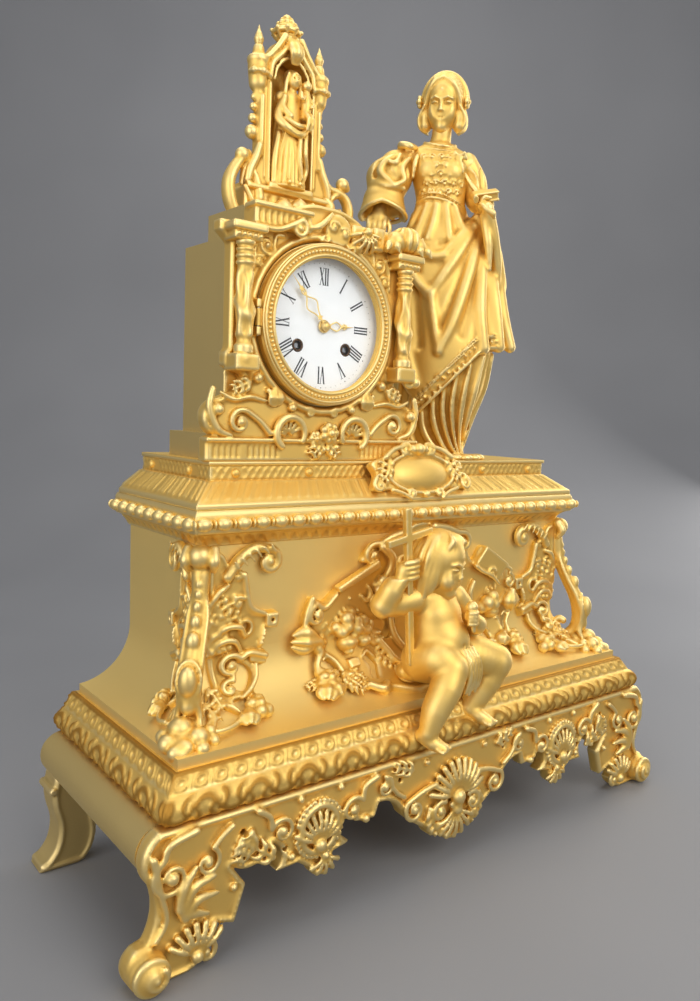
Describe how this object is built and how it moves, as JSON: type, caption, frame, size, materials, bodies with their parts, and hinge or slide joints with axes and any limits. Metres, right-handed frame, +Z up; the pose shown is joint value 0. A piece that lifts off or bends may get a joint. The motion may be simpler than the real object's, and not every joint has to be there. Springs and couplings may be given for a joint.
{
  "type": "figural clock",
  "caption": "Gilt figural mantel clock with a draped standing figure, a niche over the dial, a seated child and a pierced scroll base",
  "frame": {"origin": "on the floor under the middle of the clock's bounding box", "axes": "+X to the viewer's right, +Y to the back, +Z up"},
  "size_m": [0.511, 0.192, 0.617],
  "materials": {
    "gilt_bronze": "matt mercury gilding with burnished highlights",
    "satin_gilt": "plain satin gilding",
    "movement_brass": "turned brass",
    "steel": "polished steel",
    "enamel": "glossy white enamel",
    "glass": "clear glass"
  },
  "bodies": {
    "root": {"front_apron": "gilt_bronze", "side_roll_left": "satin_gilt", "side_roll_right": "satin_gilt", "rear_foot_left": "satin_gilt", "rear_foot_right": "satin_gilt", "base_back_rail": "satin_gilt", "base_moulding": "gilt_bronze", "plinth_body": "satin_gilt", "plinth_cornice": "gilt_bronze", "upper_slab": "gilt_bronze", "tie_rods": "steel", "slab_studs": "gilt_bronze", "front_cartouche": "gilt_bronze", "corner_mount_left": "gilt_bronze", "corner_mount_right": "gilt_bronze", "trophy_plaque": "gilt_bronze", "child_figure": "gilt_bronze", "reed_cross": "gilt_bronze", "case_shell": "satin_gilt", "case_back_panel": "satin_gilt", "front_frame": "gilt_bronze", "column_left": "gilt_bronze", "column_right": "gilt_bronze", "fruit_cluster": "gilt_bronze", "niche_frame": "gilt_bronze", "niche_finials": "gilt_bronze", "niche_scrolls": "gilt_bronze", "niche_figure": "gilt_bronze", "figure_body": "gilt_bronze", "figure_head": "gilt_bronze", "figure_right_arm": "gilt_bronze", "figure_left_arm": "gilt_bronze", "prayer_book": "gilt_bronze", "enamel_dial": "enamel", "dial_ring": "movement_brass", "hinge_pins": "steel", "movement_front_plate": "movement_brass", "movement_back_plate": "movement_brass", "suspension_cock": "movement_brass", "bell": "movement_brass"},
    "bezel_body": {"bezel": "gilt_bronze", "bezel_glass": "glass"},
    "back_door_body": {"back_door": "satin_gilt"},
    "minute_body": {"minute_hand": "gilt_bronze", "cannon_pinion": "movement_brass"},
    "centre_body": {"centre_arbor": "movement_brass"},
    "hour_body": {"hour_hand": "gilt_bronze", "hour_wheel": "movement_brass"},
    "minute_wheel_body": {"minute_wheel": "movement_brass"},
    "intermediate_body": {"intermediate_wheel": "movement_brass"},
    "third_body": {"third_wheel": "movement_brass"},
    "escape_body": {"escape_wheel": "movement_brass"},
    "going_barrel_body": {"going_barrel": "movement_brass"},
    "strike_barrel_body": {"strike_barrel": "movement_brass"},
    "going_arbor_body": {"going_winding_arbor": "steel"},
    "strike_arbor_body": {"strike_winding_arbor": "steel"},
    "pendulum_body": {"anchor": "steel", "pendulum_rod": "steel", "pendulum_bob": "movement_brass"},
    "hammer_body": {"hammer": "steel"}
  },
  "joints": [
    {"name": "bezel_hinge", "type": "hinge", "parent": "root", "child": "bezel_body", "pos_m": [-0.1392, -0.019, 0.3925], "axis": [0, 0, -1], "range_deg": [0, 90]},
    {"name": "door_hinge", "type": "hinge", "parent": "root", "child": "back_door_body", "pos_m": [-0.1286, 0.0586, 0.3925], "axis": [0, 0, 1], "range_deg": [0, 110]},
    {"name": "minute", "type": "hinge", "parent": "root", "child": "minute_body", "pos_m": [-0.081, 0, 0.3925], "axis": [0, 1, 0], "continuous": true},
    {"name": "hour", "type": "hinge", "parent": "root", "child": "hour_body", "pos_m": [-0.081, 0, 0.3925], "axis": [0, 1, 0], "continuous": true},
    {"name": "centre_turn", "type": "hinge", "parent": "root", "child": "centre_body", "pos_m": [-0.081, 0, 0.3925], "axis": [0, 1, 0], "continuous": true},
    {"name": "minute_wheel_turn", "type": "hinge", "parent": "root", "child": "minute_wheel_body", "pos_m": [-0.081, 0, 0.4021], "axis": [0, 1, 0], "continuous": true},
    {"name": "intermediate_turn", "type": "hinge", "parent": "root", "child": "intermediate_body", "pos_m": [-0.06647, 0, 0.3947], "axis": [0, 1, 0], "continuous": true},
    {"name": "third_turn", "type": "hinge", "parent": "root", "child": "third_body", "pos_m": [-0.08819, 0, 0.4041], "axis": [0, 1, 0], "continuous": true},
    {"name": "escape_turn", "type": "hinge", "parent": "root", "child": "escape_body", "pos_m": [-0.081, 0, 0.4135], "axis": [0, 1, 0], "continuous": true},
    {"name": "going_barrel_turn", "type": "hinge", "parent": "root", "child": "going_barrel_body", "pos_m": [-0.06, 0, 0.3775], "axis": [0, 1, 0], "continuous": true},
    {"name": "strike_barrel_turn", "type": "hinge", "parent": "root", "child": "strike_barrel_body", "pos_m": [-0.102, 0, 0.3775], "axis": [0, 1, 0], "continuous": true},
    {"name": "going_winding", "type": "hinge", "parent": "root", "child": "going_arbor_body", "pos_m": [-0.06, 0, 0.3775], "axis": [0, 1, 0], "continuous": true},
    {"name": "strike_winding", "type": "hinge", "parent": "root", "child": "strike_arbor_body", "pos_m": [-0.102, 0, 0.3775], "axis": [0, 1, 0], "continuous": true},
    {"name": "pendulum_swing", "type": "hinge", "parent": "root", "child": "pendulum_body", "pos_m": [-0.081, 0.0333, 0.4255], "axis": [0, 1, 0], "range_deg": [-3.5, 3.5]},
    {"name": "hammer_lift", "type": "hinge", "parent": "root", "child": "hammer_body", "pos_m": [-0.114, 0.0283, 0.4045], "axis": [0, 1, 0], "range_deg": [0, 18]}
  ],
  "couplings": [
    {"joint": "hour", "follows": "minute", "ratio": 0.083333},
    {"joint": "minute_wheel_turn", "follows": "minute", "ratio": -0.33333},
    {"joint": "third_turn", "follows": "escape_turn", "ratio": -0.083333},
    {"joint": "centre_turn", "follows": "escape_turn", "ratio": 0.0069444},
    {"joint": "intermediate_turn", "follows": "escape_turn", "ratio": -0.0011574},
    {"joint": "going_barrel_turn", "follows": "escape_turn", "ratio": 0.0001929}
  ]
}
